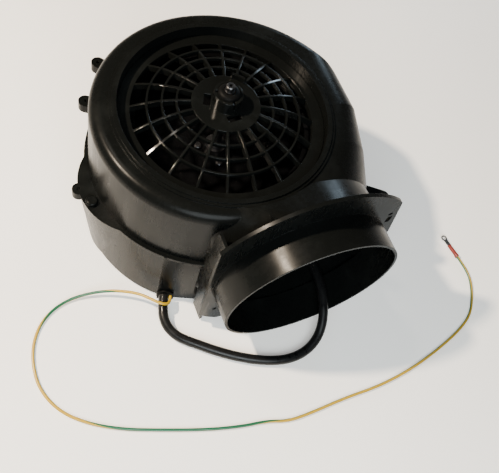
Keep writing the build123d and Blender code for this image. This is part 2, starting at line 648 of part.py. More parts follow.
def motor_carrier():
    """Flat spoked plate in the underside that the motor hangs on."""
    body = tube(SEAT_RADIUS - FIT_GAP, GRILLE_OPENING_RADIUS, 0.0, FOOT_SEAT_DEPTH)
    spoke = block(CARRIER_HUB_RADIUS - 1, GRILLE_OPENING_RADIUS + 1, -CARRIER_RIB_WIDTH / 2, CARRIER_RIB_WIDTH / 2,
                  0.0, CARRIER_RIB_HEIGHT)
    for index in range(CARRIER_RIBS):
        body += Rot(0, 0, (index + 0.5) * 360 / CARRIER_RIBS) * spoke
    for radius in CARRIER_RINGS:
        body += ring_band(radius, 0.0, GUARD_RING_DEPTH, GUARD_RING_WIDTH)
    body += rod(CARRIER_HUB_RADIUS, 0.0, CARRIER_HUB_HEIGHT)
    for degrees in MOUNT_ANGLES:
        x, y = polar(MOUNT_CIRCLE, degrees)
        body -= rod(MOUNT_HOLE_RADIUS, -1, CARRIER_HUB_HEIGHT + 1, x, y)
        body -= rod(MOUNT_SINK_RADIUS, -1, MOUNT_SINK_DEPTH, x, y)
    return body


def motor_dampers():
    """Rubber rings that carry the motor on the carrier."""
    low = CARRIER_HUB_HEIGHT
    rings = []
    for degrees in MOUNT_ANGLES:
        x, y = polar(MOUNT_CIRCLE, degrees)
        rings.append(tube(DAMPER_RADIUS, MOUNT_HOLE_RADIUS, low, low + DAMPER_HEIGHT, x, y))
    return rings


def mount_screws():
    """Screws from below through the carrier and the dampers into the lower end shield."""
    screws = []
    length = CARRIER_HUB_HEIGHT + DAMPER_HEIGHT + SHIELD_FLOOR - MOUNT_SINK_DEPTH
    for degrees in MOUNT_ANGLES:
        x, y = polar(MOUNT_CIRCLE, degrees)
        one = screw(0, 0, 0, length)
        screws.append(Pos(x, y, MOUNT_SINK_DEPTH) * Rot(180, 0, 0) * one)
    return screws


def end_shield():
    """Die-cast cup with a bearing seat, vents and four bolt ways, open side up."""
    total = SHIELD_FLOOR + SHIELD_DEPTH
    body = rod(SHIELD_RADIUS, 0, total) - rod(SHIELD_RADIUS - SHIELD_WALL, SHIELD_FLOOR, total + 1)
    body = chamfer(edges_at(body, 0), SHIELD_CHAMFER)
    seat = rod(BEARING_OUTER + BEARING_HOUSING_WALL, 0, SHIELD_FLOOR + BEARING_WIDTH + 0.5)
    body += seat
    body -= rod(BEARING_OUTER + 0.02, SHIELD_FLOOR, SHIELD_FLOOR + BEARING_WIDTH + 2)
    body -= rod(SHAFT_RADIUS + 2, -1, SHIELD_FLOOR + 1)
    for index in range(TIE_BOLT_COUNT):
        x, y = polar(TIE_BOLT_CIRCLE, 45 + index * 360 / TIE_BOLT_COUNT)
        body -= rod(TIE_BOLT_RADIUS + SCREW_GAP, -1, total + 1, x, y)
    vent = block(SHIELD_RADIUS - SHIELD_WALL - 1, SHIELD_RADIUS + 1, -5, 5, SHIELD_FLOOR + 4, total - 4)
    for index in range(VENT_COUNT):
        body -= Rot(0, 0, index * 360 / VENT_COUNT) * vent
    return body


def lower_end_shield():
    """Shield on the dampers, with tapped holes for the mount screws."""
    body = end_shield()
    for degrees in MOUNT_ANGLES:
        x, y = polar(MOUNT_CIRCLE, degrees)
        body -= rod(SCREW_SHANK + SCREW_GAP, -1, SHIELD_FLOOR + 1, x, y)
    return Pos(0, 0, CARRIER_HUB_HEIGHT + DAMPER_HEIGHT) * body


def upper_end_shield():
    """The same cup turned over on top of the stator."""
    return Pos(0, 0, STACK_TOP + SHIELD_FLOOR + SHIELD_DEPTH) * Rot(180, 0, 0) * end_shield()


def ball_bearing(low):
    """Closed ball bearing with its shield faces set back."""
    body = tube(BEARING_OUTER, SHAFT_RADIUS + 0.01, low, low + BEARING_WIDTH)
    groove_outer = BEARING_OUTER - 2.0
    groove_inner = SHAFT_RADIUS + 2.0
    body -= tube(groove_outer, groove_inner, low - 1, low + 0.5)
    return body - tube(groove_outer, groove_inner, low + BEARING_WIDTH - 0.5, low + BEARING_WIDTH + 1)


def stator_core():
    """Laminated ring with slots that open to the bore."""
    body = tube(SHIELD_RADIUS, STATOR_BORE, STACK_BOTTOM, STACK_TOP)
    slot = block(SLOT_INNER, SLOT_OUTER, -SLOT_WIDTH / 2, SLOT_WIDTH / 2, STACK_BOTTOM - 1, STACK_TOP + 1)
    mouth = block(STATOR_BORE - 1, SLOT_INNER + 1, -1, 1, STACK_BOTTOM - 1, STACK_TOP + 1)
    for index in range(STATOR_SLOTS):
        turn = Rot(0, 0, (index + 0.5) * 360 / STATOR_SLOTS)
        body -= turn * slot
        body -= turn * mouth
    for index in range(TIE_BOLT_COUNT):
        x, y = polar(TIE_BOLT_CIRCLE, 45 + index * 360 / TIE_BOLT_COUNT)
        body -= rod(TIE_BOLT_RADIUS + SCREW_GAP, STACK_BOTTOM - 1, STACK_TOP + 1, x, y)
    return body


def stator_windings():
    """Copper in the slots, joined by the end turns above and below the core."""
    gap = WINDING_GAP
    low = STACK_BOTTOM - WINDING_RISE
    high = STACK_TOP + WINDING_RISE
    body = tube(WINDING_OUTER, WINDING_INNER, low, STACK_BOTTOM - gap)
    body = chamfer(edges_at(body, low), WINDING_CHAMFER)
    crown = tube(WINDING_OUTER, WINDING_INNER, STACK_TOP + gap, high)
    crown = chamfer(edges_at(crown, high), WINDING_CHAMFER)
    body += crown
    bar = block(SLOT_INNER + gap, SLOT_OUTER - gap, gap - SLOT_WIDTH / 2, SLOT_WIDTH / 2 - gap,
                STACK_BOTTOM - 1, STACK_TOP + 1)
    for index in range(STATOR_SLOTS):
        body += Rot(0, 0, (index + 0.5) * 360 / STATOR_SLOTS) * bar
    return body


def tie_bolts():
    """Long bolts with nuts that clamp both end shields on the stator."""
    low = CARRIER_HUB_HEIGHT + DAMPER_HEIGHT
    high = STACK_TOP + SHIELD_FLOOR + SHIELD_DEPTH
    bolts = []
    for index in range(TIE_BOLT_COUNT):
        x, y = polar(TIE_BOLT_CIRCLE, 45 + index * 360 / TIE_BOLT_COUNT)
        bolt = rod(TIE_BOLT_RADIUS, low - TIE_NUT_HEIGHT, high + TIE_NUT_HEIGHT + 1.5, x, y)
        for start in (low - TIE_NUT_HEIGHT, high):
            nut = extrude(RegularPolygon(TIE_NUT_RADIUS, 6), TIE_NUT_HEIGHT)
            bolt += Pos(x, y, start) * nut
        bolts.append(bolt)
    return bolts


def shaft():
    """Ground shaft with a turned nose and a centre hole that show in the top collar."""
    low = CARRIER_HUB_HEIGHT + DAMPER_HEIGHT + SHIELD_FLOOR - 1
    step = SHAFT_TOP - NOSE_LENGTH
    body = rod(SHAFT_RADIUS, low, step) + rod(NOSE_RADIUS, step, SHAFT_TOP)
    body = chamfer(edges_at(body, SHAFT_TOP), 0.6)
    body -= rod(CENTRE_HOLE_RADIUS, SHAFT_TOP - 4, SHAFT_TOP + 1)
    groove = tube(SHAFT_RADIUS + 1, CLIP_GROOVE_RADIUS, CLIP_LOW - CLIP_CLEARANCE,
                  CLIP_LOW + CLIP_THICKNESS + CLIP_CLEARANCE)
    return body - groove


def rotor_core():
    """Laminated rotor on the shaft."""
    body = tube(STATOR_BORE - AIR_GAP, SHAFT_RADIUS + 0.01, STACK_BOTTOM, STACK_TOP)
    notch = block(STATOR_BORE - AIR_GAP - ROTOR_NOTCH, STATOR_BORE, -ROTOR_NOTCH / 2, ROTOR_NOTCH / 2,
                  STACK_BOTTOM - 1, STACK_TOP + 1)
    for index in range(ROTOR_SLOTS):
        body -= Rot(0, 0, index * 360 / ROTOR_SLOTS) * notch
    return body


def rotor_end_rings():
    """Cast aluminium rings of the cage, with small stirring blades."""
    outer = STATOR_BORE - AIR_GAP - 1.5
    rings = []
    for low, blade_low in ((STACK_TOP, STACK_TOP + END_RING_HEIGHT),
                           (STACK_BOTTOM - END_RING_HEIGHT, STACK_BOTTOM - END_RING_HEIGHT - 2.5)):
        ring = tube(outer, END_RING_INNER, low, low + END_RING_HEIGHT)
        blade = block(END_RING_INNER + 1, outer - 1, -0.8, 0.8, blade_low, blade_low + 2.5)
        for index in range(8):
            ring += Rot(0, 0, index * 45) * blade
        rings.append(ring)
    return rings


def blade_face():
    """Section of one forward curved blade, as a crescent between two arcs."""
    sweep = math.radians(BLADE_SWEEP)
    inner_r = BLADE_INNER_RADIUS + 0.4
    outer_r = IMPELLER_RADIUS - 0.4
    inner = Vector(inner_r, 0)
    outer = Vector(outer_r * math.cos(sweep), -outer_r * math.sin(sweep))
    chord = (outer - inner).normalized()
    side = Vector(-chord.Y, chord.X)
    middle = (inner + outer) * 0.5
    half = BLADE_THICKNESS / 2
    first = ThreePointArc(inner + side * half, middle + side * (BLADE_CAMBER + half), outer + side * half)
    second = ThreePointArc(inner - side * half, middle + side * (BLADE_CAMBER - half), outer - side * half)
    return make_face([first, Line(first @ 1, second @ 1), second, Line(second @ 0, first @ 0)])


def impeller():
    """Double inlet blower wheel: a disc with a row of blades on each side and a ring at each end."""
    disc = rod(IMPELLER_RADIUS, DISC_HEIGHT, DISC_HEIGHT + DISC_THICKNESS)
    disc -= rod(HUB_INSERT_RADIUS + 0.05, DISC_HEIGHT - 1, DISC_HEIGHT + DISC_THICKNESS + 1)
    for index in range(3):
        x, y = polar(HUB_SCREW_CIRCLE, 30 + index * 120)
        disc -= rod(SCREW_SHANK + SCREW_GAP, DISC_HEIGHT - 1, DISC_HEIGHT + DISC_THICKNESS + 1, x, y)
    ring_low = tube(IMPELLER_RADIUS, BLADE_INNER_RADIUS, IMPELLER_BOTTOM, IMPELLER_BOTTOM + IMPELLER_RING_HEIGHT)
    ring_high = tube(IMPELLER_RADIUS, BLADE_INNER_RADIUS, IMPELLER_TOP - IMPELLER_RING_HEIGHT, IMPELLER_TOP)
    section = blade_face()
    tall = IMPELLER_TOP - IMPELLER_BOTTOM - 1
    blade = Pos(0, 0, IMPELLER_BOTTOM + 0.5) * extrude(section, tall)
    blades = [Rot(0, 0, index * 360 / BLADE_COUNT) * blade for index in range(BLADE_COUNT)]
    return disc.fuse(ring_low, ring_high, *blades)


def impeller_hub():
    """Metal hub with a flange that carries the disc of the wheel."""
    low = DISC_HEIGHT + DISC_THICKNESS - HUB_INSERT_HEIGHT / 2
    body = rod(HUB_INSERT_RADIUS, low, low + HUB_INSERT_HEIGHT)
    body += rod(HUB_FLANGE_RADIUS, DISC_HEIGHT - HUB_FLANGE_THICKNESS, DISC_HEIGHT)
    body -= rod(SHAFT_RADIUS + 0.01, low - 1, low + HUB_INSERT_HEIGHT + 1)
    for index in range(3):
        x, y = polar(HUB_SCREW_CIRCLE, 30 + index * 120)
        body -= rod(SCREW_SHANK + SCREW_GAP, DISC_HEIGHT - HUB_FLANGE_THICKNESS - 1, DISC_HEIGHT + 1, x, y)
    return body


def hub_screws():
    """Screws that hold the wheel's disc on the hub flange."""
    under_head = DISC_HEIGHT + DISC_THICKNESS
    return [screw(*polar(HUB_SCREW_CIRCLE, 30 + index * 120), under_head, 6.0) for index in range(3)]


def shaft_clip():
    """Retaining ring in the shaft groove above the hub."""
    body = tube(CLIP_RADIUS, CLIP_GROOVE_RADIUS + CLIP_CLEARANCE, CLIP_LOW, CLIP_LOW + CLIP_THICKNESS)
    return body - block(0, CLIP_RADIUS + 1, -2.2, 2.2, CLIP_LOW - 1, CLIP_LOW + CLIP_THICKNESS + 1)


def top_bearing():
    """Sintered sleeve that steadies the top of the shaft."""
    return tube(SLEEVE_OUTER, SHAFT_RADIUS + RUNNING_GAP, HUB_TOP, BUSH_TOP - BUSH_COVER)


def top_bush():
    """Domed rubber bush between the sleeve and the collar."""
    body = rod(COLLAR_BORE - 0.05, HUB_TOP, BUSH_TOP)
    body = fillet(edges_at(body, BUSH_TOP), BUSH_RISE)
    body -= rod(SLEEVE_OUTER + 0.02, HUB_TOP - 1, BUSH_TOP - BUSH_COVER)
    return body - rod(SHAFT_RADIUS + BUSH_MOUTH_GAP, BUSH_TOP - 2 * BUSH_COVER, BUSH_TOP + 1)


def cable_grommet():
    """Rubber strain relief moulded on the cable, with a lip outside the notch."""
    half = NOTCH_HALF_WIDTH - GROMMET_CLEARANCE
    top = NOTCH_HEIGHT - GROMMET_CLEARANCE
    body = Pos(0, 0, -GROMMET_LENGTH) * arch(half, top, FIT_GAP, GROMMET_LENGTH)
    body += arch(half + GROMMET_LIP, top + GROMMET_LIP, FIT_GAP, GROMMET_LIP_THICKNESS)
    return notch_plane() * body


def bend_radii(points):
    """Largest radius that each corner's two runs leave room for."""
    radii = []
    for before, here, after in zip(points, points[1:], points[2:]):
        first = Vector(here) - Vector(before)
        second = Vector(after) - Vector(here)
        turn = math.radians(first.get_angle(second))
        radii.append(0.45 * min(first.length, second.length) / math.tan(turn / 2))
    return radii


def cord(points, radius, label):
    """Round cord along straight runs joined by tangent arcs."""
    radii = bend_radii(points)
    path = FilletPolyline(*points, radius=radii)
    start = Vector(*points[1]) - Vector(*points[0])
    section = Plane(origin=points[0], z_dir=start) * Circle(radius)
    solid = sweep(section, path=path)
    expected = math.pi * radius ** 2 * path.length
    print(label, "length", round(path.length, 1), "volume ratio", round(solid.volume / expected, 5))
    print(label, "radii", [round(r, 1) for r in radii])
    return solid


def motor_plug():
    """Wire housing on the far end of the cable, lying in the duct."""
    last, before = Vector(*CABLE_ROUTE[-1]), Vector(*CABLE_ROUTE[-2])
    along = (last - before).normalized()
    flat = Vector(along.X, along.Y, 0).normalized()
    plane = Plane(origin=last, x_dir=Vector(-flat.Y, flat.X, 0), z_dir=along)
    shell = Box(PLUG_WIDTH, PLUG_HEIGHT, PLUG_LENGTH, align=(Align.CENTER, Align.CENTER, Align.MIN))
    shell = fillet(shell.edges().filter_by(Axis.Z), 1.2)
    shell += Pos(0, PLUG_HEIGHT / 2, PLUG_LENGTH * 0.55) * Box(6, 2.4, PLUG_LENGTH * 0.6)
    for column in (-1, 0, 1):
        for row in (-1, 1):
            way = Box(3.6, 3.2, 12, align=(Align.CENTER, Align.CENTER, Align.MAX))
            shell -= Pos(column * 5.6, row * 2.4, PLUG_LENGTH + 0.01) * way
    return plane * shell


def inner_lead():
    """Wires from the motor to the cable notch, bundled under the wheel."""
    low = CARRIER_RIB_HEIGHT + LEAD_RADIUS + 1.5
    wall = notch_plane(low)
    end = wall.from_local_coords(Vector(CABLE_ASIDE, 0, -GROMMET_LENGTH))
    before = wall.from_local_coords(Vector(CABLE_ASIDE, 0, -GROMMET_LENGTH - 14))
    start = polar(SHIELD_RADIUS + FIT_GAP, LEAD_ANGLE)
    knee = polar(SHIELD_RADIUS + 13, LEAD_ANGLE)
    shoulder = polar(SHIELD_RADIUS + 6, LEAD_ANGLE)
    points = [(*start, low + 7), (*shoulder, low + 7), (*knee, low + 2),
              (*polar(SHIELD_RADIUS + 24, LEAD_ANGLE + 1), low), before, end]
    path = FilletPolyline(*points, radius=bend_radii(points))
    first = Vector(points[1]) - Vector(points[0])
    return sweep(Plane(origin=points[0], z_dir=first) * Circle(LEAD_RADIUS), path=path)


def earth_end():
    """Plane at the end of the earth wire, with z along the wire."""
    last, before = Vector(*EARTH_ROUTE[-1]), Vector(*EARTH_ROUTE[-2])
    along = (last - before).normalized()
    return Plane(origin=last, x_dir=Vector(-along.Y, along.X, 0), z_dir=along)


def terminal_sleeve():
    """Insulating sleeve over the crimp of the ring terminal."""
    body = Cylinder(TERMINAL_SLEEVE_RADIUS, TERMINAL_SLEEVE_LENGTH, align=(Align.CENTER, Align.CENTER, Align.MIN))
    flare = Cone(TERMINAL_SLEEVE_RADIUS + 0.5, TERMINAL_SLEEVE_RADIUS, 3,
                 align=(Align.CENTER, Align.CENTER, Align.MIN))
    return earth_end() * (body + flare)


def ring_terminal():
    """Tinned ring with its neck."""
    eye = Cylinder(TERMINAL_RADIUS, TERMINAL_THICKNESS)
    neck = Box(TERMINAL_RADIUS * 1.3, 2 * TERMINAL_RADIUS + TERMINAL_NECK, TERMINAL_THICKNESS)
    flat = eye + Pos(0, -TERMINAL_RADIUS - TERMINAL_NECK / 2 + TERMINAL_RADIUS / 2, 0) * neck
    flat -= Cylinder(TERMINAL_HOLE_RADIUS, 3)
    reach = TERMINAL_SLEEVE_LENGTH + 1.5 * TERMINAL_RADIUS + TERMINAL_NECK
    return earth_end() * Pos(0, 0, reach) * Rot(90, 0, 0) * flat


def save(name, shape):
    """Write one node, as one solid or as a group of separate solids."""
    if isinstance(shape, list):
        shape = Compound(children=[item.solid() if item.solid() else item for item in shape])
    export_step(shape, f"parts/{name}.step")


def main():
    whole = casing()
    save("upper_housing", upper_housing(whole))
    save("lower_housing", lower_housing(whole))
    save("housing_screws", housing_screws())
    save("inlet_grille", inlet_grille())
    save("motor_carrier", motor_carrier())
    save("motor_dampers", motor_dampers())
    save("mount_screws", mount_screws())
    save("lower_end_shield", lower_end_shield())
    save("upper_end_shield", upper_end_shield())
    bearing_low = CARRIER_HUB_HEIGHT + DAMPER_HEIGHT + SHIELD_FLOOR
    save("lower_bearing", ball_bearing(bearing_low))
    save("upper_bearing", ball_bearing(STACK_TOP + SHIELD_DEPTH - BEARING_WIDTH))
    save("stator_core", stator_core())
    save("stator_windings", stator_windings())
    save("tie_bolts", tie_bolts())
    save("shaft", shaft())
    save("rotor_core", rotor_core())
    save("rotor_end_rings", rotor_end_rings())
    save("impeller", impeller())
    save("impeller_hub", impeller_hub())
    save("hub_screws", hub_screws())
    save("shaft_clip", shaft_clip())
    save("top_bearing", top_bearing())
    save("top_bush", top_bush())
    save("cable_grommet", cable_grommet())
    save("inner_lead", inner_lead())
    save("motor_cable", cord(CABLE_ROUTE, CABLE_RADIUS, "cable"))
    save("motor_plug", motor_plug())
    save("earth_wire", cord(EARTH_ROUTE, EARTH_RADIUS, "earth"))
    save("terminal_sleeve", terminal_sleeve())
    save("ring_terminal", ring_terminal())


main()
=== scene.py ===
import json
import math

import bpy
from mathutils import Matrix, Vector


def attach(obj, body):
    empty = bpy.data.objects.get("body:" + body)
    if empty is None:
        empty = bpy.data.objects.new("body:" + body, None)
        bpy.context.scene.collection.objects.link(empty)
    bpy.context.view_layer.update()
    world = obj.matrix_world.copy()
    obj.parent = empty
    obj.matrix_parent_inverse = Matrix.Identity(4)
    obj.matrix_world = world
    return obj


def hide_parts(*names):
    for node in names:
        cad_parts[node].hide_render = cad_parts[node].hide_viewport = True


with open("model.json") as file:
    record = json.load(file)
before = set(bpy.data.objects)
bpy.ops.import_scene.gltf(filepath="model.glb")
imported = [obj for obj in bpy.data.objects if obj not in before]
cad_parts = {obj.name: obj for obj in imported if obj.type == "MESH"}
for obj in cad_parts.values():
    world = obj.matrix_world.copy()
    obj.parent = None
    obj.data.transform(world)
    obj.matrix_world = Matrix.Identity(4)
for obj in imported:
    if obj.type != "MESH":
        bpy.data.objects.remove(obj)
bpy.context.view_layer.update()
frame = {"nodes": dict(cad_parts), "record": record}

MM = 0.001
FULL_TURN = 2 * math.pi
CASING = "casing"

# Camera of the photograph: place in metres, turns in degrees, and the lens in pixels of the picture's width
PICTURE_WIDTH = 499
FOCAL_PIXELS = 668.9
CAMERA_PLACE = (-0.18097, -0.28506, 0.54798)
CAMERA_AZIMUTH = -42.136
CAMERA_ELEVATION = 59.609
CAMERA_ROLL = 23.624
SENSOR = 36.0

# Cords: diameters and routes in millimetres, lengths in metres
CABLE_DIAMETER = 8.5
EARTH_DIAMETER = 2.6

CABLE_ROUTE = [
    (-64.1, -84.8, 8.6), (-67.7, -94.1, 8.6), (-70.0, -103.5, 6.8), (-68.7, -112.8, 5.0),
    (-64.0, -121.1, 4.4), (-57.1, -127.8, 4.4), (-49.0, -134.0, 4.4), (-36.2, -144.0, 4.4),
    (-18.5, -155.6, 4.4), (1.7, -165.3, 4.4), (21.8, -170.6, 4.5), (40.2, -168.8, 5.6),
    (53.8, -161.2, 10.0), (61.6, -150.2, 16.5), (66.0, -138.0, 21.6), (69.5, -125.0, 23.8),
    (71.8, -113.0, 22.8), (73.5, -103.0, 19.6), (74.2, -94.0, 17.8), (71.0, -85.5, 15.6),
    (65.0, -79.0, 12.4),
]
EARTH_ROUTE = [
    (-58.7, -86.9, 9.6), (-60.3, -91.0, 9.9), (-63.2, -94.2, 12.8), (-67.6, -94.4, 15.4),
    (-71.9, -91.9, 16.3), (-76.8, -86.6, 15.2), (-84.0, -79.0, 13.4), (-94.0, -72.6, 11.2),
    (-107.0, -66.8, 8.2), (-122.0, -63.2, 4.8), (-139.0, -62.5, 2.2), (-155.0, -67.5, 1.5),
    (-168.0, -77.5, 1.5), (-177.0, -92.0, 1.5), (-181.5, -110.0, 1.5), (-181.0, -131.0, 1.5),
    (-171.0, -152.0, 1.5), (-153.0, -168.0, 1.5), (-129.0, -181.0, 1.5), (-99.0, -192.0, 1.5),
    (-66.0, -203.0, 1.5), (-38.0, -210.0, 1.5), (-15.0, -213.0, 1.5), (2.0, -219.0, 1.5),
    (25.0, -219.0, 1.5), (58.0, -217.0, 1.5), (93.0, -217.5, 1.5), (130.0, -213.0, 1.5),
    (166.0, -204.0, 1.5), (195.0, -194.0, 1.5), (213.0, -184.0, 1.5), (224.0, -170.0, 1.5),
    (232.0, -154.0, 1.8), (234.0, -140.0, 2.2), (231.5, -125.5, 2.6),
]

# Green stripe of the earth wire: share of the wire's length, and the stripe's place round it in turns
STRIPE_TURNS = [
    (0.0, 0.65), (0.2, 0.65), (0.25, 0.2), (0.31, 0.2), (0.36, 0.55),
    (0.49, 0.55), (0.53, 0.2), (0.63, 0.2), (0.68, 0.5), (1.0, 0.5),
]
YELLOW = (0.42, 0.26, 0.01)
GREEN = (0.003, 0.085, 0.035)

# Pitches of the copper rows and of the steel sheets, in metres
COPPER_PITCH = 0.0006
SHEET_PITCH = 0.0005

# Stage, in metres: floor, the glow that keeps the far floor pale, and the surroundings' tones by the sine of
# the height above the horizon
FLOOR_SIZE = 12.0
FLOOR_DROP = 0.0002
FLOOR_COLOUR = (0.86, 0.84, 0.80, 1.0)
FLOOR_GLOW = 0.4
SURROUNDING_TONES = [(0.0, 0.44), (0.05, 0.4), (0.26, 0.1), (0.5, 0.04)]
SURROUNDING_TINT = (1.0, 0.99, 0.97)

# Lamps: name, place, point they face, diameter, power in watts, colour
LAMPS = [
    ("lamp_left", (-0.61, 0.22, 0.885), (0.0, 0.0, 0.05), 0.06, 31.0, (1.0, 0.83, 0.64)),
    ("lamp_behind", (-0.37, 0.69, 1.6), (0.0, 0.0, 0.05), 0.12, 4.0, (1.0, 0.93, 0.82)),
    ("window", (1.12, 0.97, 0.6), (0.05, 0.0, 0.05), 0.4, 8.0, (0.66, 0.84, 1.0)),
    ("near_side", (-0.22, -0.62, 0.55), (-0.1, -0.3, 0.0), 0.5, 8.0, (0.88, 0.97, 1.0)),
]


class Wire:
    """A shader socket that takes part in Python sums; each sum adds its Math node."""

    def __init__(self, finish, socket):
        self.finish = finish
        self.socket = socket

    def math(self, operation, *others):
        return self.finish.add("ShaderNodeMath", dict(enumerate([self, *others])), operation=operation)

    def __add__(self, other):
        return self.math("ADD", other)

    __radd__ = __add__

    def __mul__(self, other):
        return self.math("MULTIPLY", other)

    __rmul__ = __mul__

    def part(self, name):
        """Another output of the node that this socket belongs to."""
        return Wire(self.finish, self.socket.node.outputs[name])


class Finish:
    """A material whose nodes are written as expressions."""

    def __init__(self, slot, **constants):
        self.material = bpy.data.materials.new(slot)
        self.material.use_nodes = True
        self.tree = self.material.node_tree
        self.shader = self.tree.nodes["Principled BSDF"]
        self.set(**constants)

    def set(self, **sockets):
        """Sets the surface's own sockets to a number, a colour or a wire."""
        for name, value in sockets.items():
            self.join(self.shader.inputs[name.replace("_", " ")], value)

    def join(self, socket, value):
        if isinstance(value, Wire):
            self.tree.links.new(value.socket, socket)
        else:
            socket.default_value = value

    def add(self, kind, sockets=None, stops=None, **settings):
        """Adds a node: its settings and ramp stops first, then the values or links of its sockets."""
        node = self.tree.nodes.new(kind)
        for name, value in settings.items():
            setattr(node, name, value)
        if stops:
            set_stops(node.color_ramp, stops)
        for name, value in (sockets or {}).items():
            self.join(node.inputs[name], value)
        shown = next(output for output in node.outputs if output.enabled)
        return Wire(self, shown)

    def place(self):
        """The surface's own place in the object's frame, in metres."""
        return self.add("ShaderNodeTexCoord").part("Object")

    def noise(self, size, detail=3.0, roughness=0.55, stretch=(1, 1, 1)):
        """Soft noise from 0 to 1 whose blotches are about size across, in metres."""
        spread = self.add(
            "ShaderNodeVectorMath", {0: self.place(), 1: [s / size for s in stretch]}, operation="MULTIPLY"
        )
        return self.add("ShaderNodeTexNoise", {"Vector": spread, "Scale": 1.0, "Detail": detail,
                                               "Roughness": roughness})

    def ridges(self, pitch):
        """Waves from -1 to 1 that follow each other up the object at a pitch, in metres."""
        height = self.add("ShaderNodeSeparateXYZ", {0: self.place()}).part("Z")
        return (height * (FULL_TURN / pitch)).math("SINE")

    def ease(self, value, low, high, out_low=0.0, out_high=1.0):
        """Value carried smoothly from one span to another."""
        return self.add(
            "ShaderNodeMapRange",
            {"Value": value, "From Min": low, "From Max": high, "To Min": out_low, "To Max": out_high},
            interpolation_type="SMOOTHSTEP",
        )

    def blend(self, share, first, second):
        """Colour between two others."""
        node = self.add("ShaderNodeMix", {"Factor": share}, data_type="RGBA").socket.node
        colours = [socket for socket in node.inputs if socket.type == "RGBA"]
        for socket, colour in zip(colours, (first, second)):
            self.join(socket, (*colour, 1.0))
        return Wire(self, next(output for output in node.outputs if output.type == "RGBA"))

    def soft_edge(self, radius):
        """Normal that rounds the piece's edges to a radius, in metres."""
        return self.add("ShaderNodeBevel", {"Radius": radius}, samples=6)

    def relief(self, height, depth, normal=None):
        """Raises and sinks the surface's shading by a height from 0 to 1, of a depth in metres."""
        sockets = {"Height": height, "Distance": depth, "Strength": 1.0}
        if normal is not None:
            sockets["Normal"] = normal
        self.set(Normal=self.add("ShaderNodeBump", sockets))


def set_stops(ramp, stops):
    """Gives a colour ramp its stops; a new ramp already holds two."""
    for index, (place, colour) in enumerate(stops):
        stop = ramp.elements[index] if index < 2 else ramp.elements.new(place)
        stop.position = place
        stop.color = (*colour, 1.0)


def shade(colour, factor):
    """The colour made darker or lighter by one factor."""
    return [channel * factor for channel in colour]


def moulded_plastic(slot, colour, roughness, edge=0.0004, unevenness=1.0, gloss=0.065):
    """Black moulded plastic with finger marks, faint draw marks down the walls and softened edges."""
    finish = Finish(slot, Specular_IOR_Level=gloss)
    marks = finish.noise(0.03, 4.0, 0.62)
    drawn = finish.noise(0.006, 3.0, 0.6, (1, 1, 0.08))
    grease = finish.ease(marks, 0.45, 0.75)
    finish.set(Base_Color=finish.blend(grease, colour, shade(colour, 1.6)))
    finish.set(Roughness=grease * 0.08 + finish.ease(drawn, 0.3, 0.75, roughness - 0.03, roughness + 0.04))
    fine = finish.noise(0.0007, 2.0, 0.5)
    slow = finish.noise(0.03, 1.0, 0.4)
    finish.relief(fine * 0.15 + drawn * 0.15 + slow, 0.00003 * unevenness, finish.soft_edge(edge))
    return finish


def bare_metal(slot, colour, roughness, stretch=(1, 1, 1), grain=0.00001):
    """Metal with drawn or turned marks."""
    finish = Finish(slot, Metallic=1.0)
    marks = finish.noise(0.0006, 3.0, 0.6, stretch)
    tone = finish.noise(0.012, 3.0, 0.6)
    finish.set(Base_Color=finish.blend(finish.ease(tone, 0.35, 0.7), colour, shade(colour, 0.78)))
    finish.set(Roughness=finish.ease(marks, 0.3, 0.7, roughness - 0.07, roughness + 0.1))
    finish.relief(marks, grain)
    return finish


def soft_rubber(slot, colour, roughness, gloss=0.2):
    """Matt rubber with a fine blooming haze."""
    finish = Finish(slot, Specular_IOR_Level=gloss)
    bloom = finish.noise(0.008, 4.0, 0.6)
    finish.set(Base_Color=finish.blend(finish.ease(bloom, 0.4, 0.8), colour, shade(colour, 1.4)))
    finish.set(Roughness=finish.ease(bloom, 0.3, 0.7, roughness - 0.05, roughness + 0.08))
    finish.relief(finish.noise(0.0006, 2.0), 0.00003)
    return finish


def earth_insulation(slot):
    """Yellow insulation with a green stripe that slowly winds round the wire."""
    finish = Finish(slot, Roughness=0.32)
    along = finish.add("ShaderNodeSeparateXYZ", {0: finish.add("ShaderNodeTexCoord").part("UV")})
    around = along.part("Y")
    stops = [(share, (turn, turn, turn)) for share, turn in STRIPE_TURNS]
    turn = finish.add("ShaderNodeValToRGB", {"Fac": along}, stops=stops)
    wave = ((around + turn) * FULL_TURN).math("SINE")
    stripe = finish.ease(wave, 0.15, 0.35)
    finish.set(Base_Color=finish.blend(stripe, YELLOW, GREEN))
    return finish


def wound_copper(slot):
    """Enamelled wire laid in rows round the core."""
    finish = Finish(slot, Metallic=0.85, Roughness=0.3, Coat_Weight=0.6)
    tone = finish.noise(0.004, 3.0)
    finish.set(Base_Color=finish.blend(finish.ease(tone, 0.3, 0.7), (0.5, 0.18, 0.07), (0.62, 0.27, 0.11)))
    finish.relief(finish.ridges(COPPER_PITCH), 0.00006)
    return finish


def stacked_sheets(slot):
    """Edge of stacked steel sheets, with the joints between them as fine lines."""
    finish = Finish(slot, Metallic=1.0)
    tone = finish.noise(0.01, 4.0)
    finish.set(Base_Color=finish.blend(finish.ease(tone, 0.3, 0.7), (0.25, 0.25, 0.26), (0.36, 0.35, 0.34)))
    finish.set(Roughness=finish.ease(tone, 0.3, 0.7, 0.35, 0.5))
    finish.relief(finish.ridges(SHEET_PITCH), 0.00005)
    return finish


